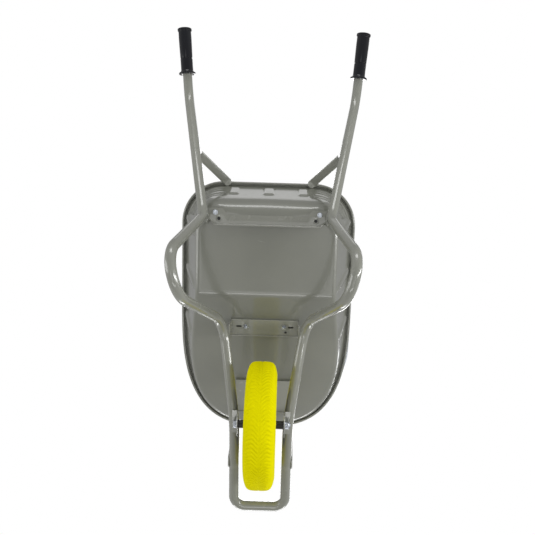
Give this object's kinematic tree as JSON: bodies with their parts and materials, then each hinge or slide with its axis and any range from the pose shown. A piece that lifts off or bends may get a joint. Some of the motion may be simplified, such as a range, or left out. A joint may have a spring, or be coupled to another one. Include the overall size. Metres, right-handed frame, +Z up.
{
  "type": "wheelbarrow",
  "caption": "Single-wheel builder's wheelbarrow: bent tube frame with legs and nose guard, deep pressed steel tray, puncture-proof foam tyre and moulded grips.",
  "frame": {"origin": "on the ground, at the middle of the plan outline's bounding box", "axes": "+Z up, +Y towards the grips, -Y towards the wheel and nose, +X to the right side piece names"},
  "size_m": [0.6364, 1.5091, 0.5972],
  "materials": {
    "painted_steel": "gloss grey-green enamel",
    "tray_paint": "gloss grey-green enamel on pressed sheet",
    "zinc": "bright zinc plate",
    "tyre_yellow": "moulded yellow polyurethane foam",
    "grip_black": "glossy black moulded vinyl",
    "nylon_black": "black nylon",
    "rim_paint": "satin black enamel"
  },
  "bodies": {
    "frame": {"frame_tube_left": "painted_steel", "frame_tube_right": "painted_steel", "nose_tube": "painted_steel", "rear_cross_brace": "painted_steel", "front_cross_brace": "painted_steel", "rear_stay_left": "painted_steel", "rear_stay_right": "painted_steel", "nose_plate": "painted_steel", "nose_stay_left": "painted_steel", "nose_stay_right": "painted_steel", "axle_bracket_left": "painted_steel", "axle_bracket_right": "painted_steel", "tray": "tray_paint", "rim_wire": "zinc", "tray_bolts_rear": "zinc", "tray_nuts_rear": "zinc", "tray_bolts_front": "zinc", "tray_nuts_front": "zinc", "axle_bolt": "zinc", "axle_nut": "zinc", "axle_washers": "zinc", "grip_left": "grip_black", "grip_right": "grip_black", "axle_spacer_left": "nylon_black", "axle_spacer_right": "nylon_black"},
    "wheel": {"tyre": "tyre_yellow", "rim_half_left": "rim_paint", "rim_half_right": "rim_paint", "rim_rivets": "zinc", "hub_tube": "rim_paint", "hub_bush_left": "nylon_black", "hub_bush_right": "nylon_black"}
  },
  "joints": [
    {"name": "wheel_spin", "type": "hinge", "parent": "frame", "child": "wheel", "pos_m": [0, -0.445, 0.183], "axis": [1, 0, 0], "continuous": true}
  ]
}
